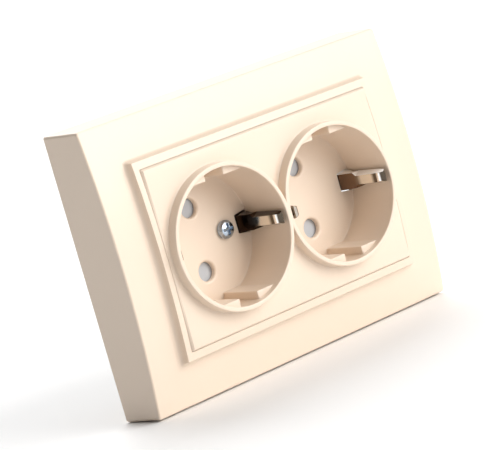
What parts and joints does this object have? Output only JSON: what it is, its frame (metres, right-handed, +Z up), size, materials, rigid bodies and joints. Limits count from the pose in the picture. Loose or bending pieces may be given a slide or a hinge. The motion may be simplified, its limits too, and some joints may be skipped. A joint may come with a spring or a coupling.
{
  "type": "double wall socket outlet",
  "caption": "Flush-mounted earthed double socket outlet: crowned frame, insert with round wells side by side, earth clips, shutters and a claw-fixed mechanism.",
  "frame": {"origin": "centre of the flush box in the wall plane, where the frame's back rim and the bracket's back face lie", "axes": "+X right and +Z up as seen from the room, +Y into the wall"},
  "size_m": [0.1152, 0.0477, 0.0838],
  "materials": {
    "ivory": "glossy injection-moulded ivory plastic",
    "shutter_grey": "satin light grey plastic",
    "nickel": "bright nickel plating",
    "brass": "stamped brass",
    "zinc": "bright zinc plating",
    "thermoset": "off-white moulded thermoset",
    "steel": "galvanised sheet steel"
  },
  "bodies": {
    "root": {"frame": "ivory", "cover_plate": "ivory", "cover_nut": "zinc", "shutter_spring_left": "steel", "shutter_spring_right": "steel", "earth_strap": "nickel", "mounting_bracket": "steel", "socket_base": "thermoset", "rear_cover": "thermoset", "rear_screw_left": "zinc", "rear_screw_right": "zinc", "live_bar": "brass", "neutral_bar": "brass", "earth_clamp_plate": "nickel", "claw_pin_upper": "steel", "claw_pin_lower": "steel", "clip_rivet_left_outer": "brass", "clip_rivet_left_inner": "brass", "clip_rivet_right_inner": "brass", "clip_rivet_right_outer": "brass", "bracket_rivet_upper_left": "brass", "bracket_rivet_upper_right": "brass", "bracket_rivet_lower_left": "brass", "bracket_rivet_lower_right": "brass", "live_sleeve_left": "brass", "live_sleeve_right": "brass", "neutral_sleeve_left": "brass", "neutral_sleeve_right": "brass", "live_terminal_left": "brass", "live_terminal_right": "brass", "neutral_terminal_left": "brass", "neutral_terminal_right": "brass"},
    "shutter_left": {"shutter_left": "shutter_grey"},
    "shutter_right": {"shutter_right": "shutter_grey"},
    "earth_clip_left_outer": {"earth_clip_left_outer": "nickel"},
    "earth_clip_left_inner": {"earth_clip_left_inner": "nickel"},
    "earth_clip_right_inner": {"earth_clip_right_inner": "nickel"},
    "earth_clip_right_outer": {"earth_clip_right_outer": "nickel"},
    "cover_screw": {"cover_screw": "zinc"},
    "live_terminal_screw_left": {"live_terminal_screw_left": "zinc"},
    "live_terminal_screw_right": {"live_terminal_screw_right": "zinc"},
    "neutral_terminal_screw_left": {"neutral_terminal_screw_left": "zinc"},
    "neutral_terminal_screw_right": {"neutral_terminal_screw_right": "zinc"},
    "earth_terminal_screw": {"earth_terminal_screw": "zinc"},
    "claw_screw_upper": {"claw_screw_upper": "zinc"},
    "claw_upper": {"claw_upper": "zinc"},
    "claw_screw_lower": {"claw_screw_lower": "zinc"},
    "claw_lower": {"claw_lower": "zinc"}
  },
  "joints": [
    {"name": "shutter_left_turn", "type": "hinge", "parent": "root", "child": "shutter_left", "pos_m": [-0.0208, -0.004, 0], "axis": [0, -1, 0], "range_deg": [0, 40], "stiffness_Nm_per_rad": 0.004, "springref_deg": -17.19, "deforming": ["shutter_spring_left"]},
    {"name": "shutter_right_turn", "type": "hinge", "parent": "root", "child": "shutter_right", "pos_m": [0.0208, -0.004, 0], "axis": [0, -1, 0], "range_deg": [0, 40], "stiffness_Nm_per_rad": 0.004, "springref_deg": -17.19, "deforming": ["shutter_spring_right"]},
    {"name": "earth_clip_left_outer_turn", "type": "hinge", "parent": "root", "child": "earth_clip_left_outer", "pos_m": [-0.0397, -0.003, 0], "axis": [0, 0, -1], "range_deg": [0, 2.2], "stiffness_Nm_per_rad": 1.2},
    {"name": "earth_clip_left_inner_turn", "type": "hinge", "parent": "root", "child": "earth_clip_left_inner", "pos_m": [-0.0019, -0.003, 0], "axis": [0, 0, 1], "range_deg": [0, 2.2], "stiffness_Nm_per_rad": 1.2},
    {"name": "earth_clip_right_inner_turn", "type": "hinge", "parent": "root", "child": "earth_clip_right_inner", "pos_m": [0.0019, -0.003, 0], "axis": [0, 0, -1], "range_deg": [0, 2.2], "stiffness_Nm_per_rad": 1.2},
    {"name": "earth_clip_right_outer_turn", "type": "hinge", "parent": "root", "child": "earth_clip_right_outer", "pos_m": [0.0397, -0.003, 0], "axis": [0, 0, 1], "range_deg": [0, 2.2], "stiffness_Nm_per_rad": 1.2},
    {"name": "cover_screw_turn", "type": "hinge", "parent": "root", "child": "cover_screw", "pos_m": [-0.0109, -0.0068, 0], "axis": [0, -1, 0], "range_deg": [0, 3600]},
    {"name": "live_terminal_screw_left_turn", "type": "hinge", "parent": "root", "child": "live_terminal_screw_left", "pos_m": [-0.0095, 0.01, 0.0127], "axis": [0, 0, 1], "range_deg": [0, 1440]},
    {"name": "live_terminal_screw_right_turn", "type": "hinge", "parent": "root", "child": "live_terminal_screw_right", "pos_m": [0.0095, 0.01, 0.0127], "axis": [0, 0, 1], "range_deg": [0, 1440]},
    {"name": "neutral_terminal_screw_left_turn", "type": "hinge", "parent": "root", "child": "neutral_terminal_screw_left", "pos_m": [-0.0095, 0.01, -0.0127], "axis": [0, 0, -1], "range_deg": [0, 1440]},
    {"name": "neutral_terminal_screw_right_turn", "type": "hinge", "parent": "root", "child": "neutral_terminal_screw_right", "pos_m": [0.0095, 0.01, -0.0127], "axis": [0, 0, -1], "range_deg": [0, 1440]},
    {"name": "earth_terminal_screw_turn", "type": "hinge", "parent": "root", "child": "earth_terminal_screw", "pos_m": [0, 0.0145, 0], "axis": [0, 1, 0], "range_deg": [0, 1440]},
    {"name": "claw_screw_upper_turn", "type": "hinge", "parent": "root", "child": "claw_screw_upper", "pos_m": [0, -0.0015, 0.025], "axis": [0, 1, 0], "range_deg": [0, 1440]},
    {"name": "claw_upper_turn", "type": "hinge", "parent": "root", "child": "claw_upper", "pos_m": [0, 0.003, 0.0215], "axis": [1, 0, 0], "range_deg": [0, 20]},
    {"name": "claw_screw_lower_turn", "type": "hinge", "parent": "root", "child": "claw_screw_lower", "pos_m": [0, -0.0015, -0.025], "axis": [0, 1, 0], "range_deg": [0, 1440]},
    {"name": "claw_lower_turn", "type": "hinge", "parent": "root", "child": "claw_lower", "pos_m": [0, 0.003, -0.0215], "axis": [-1, 0, 0], "range_deg": [0, 20]}
  ],
  "couplings": [
    {"joint": "claw_upper_turn", "follows": "claw_screw_upper_turn", "ratio": 0.0132},
    {"joint": "claw_lower_turn", "follows": "claw_screw_lower_turn", "ratio": 0.0132}
  ]
}
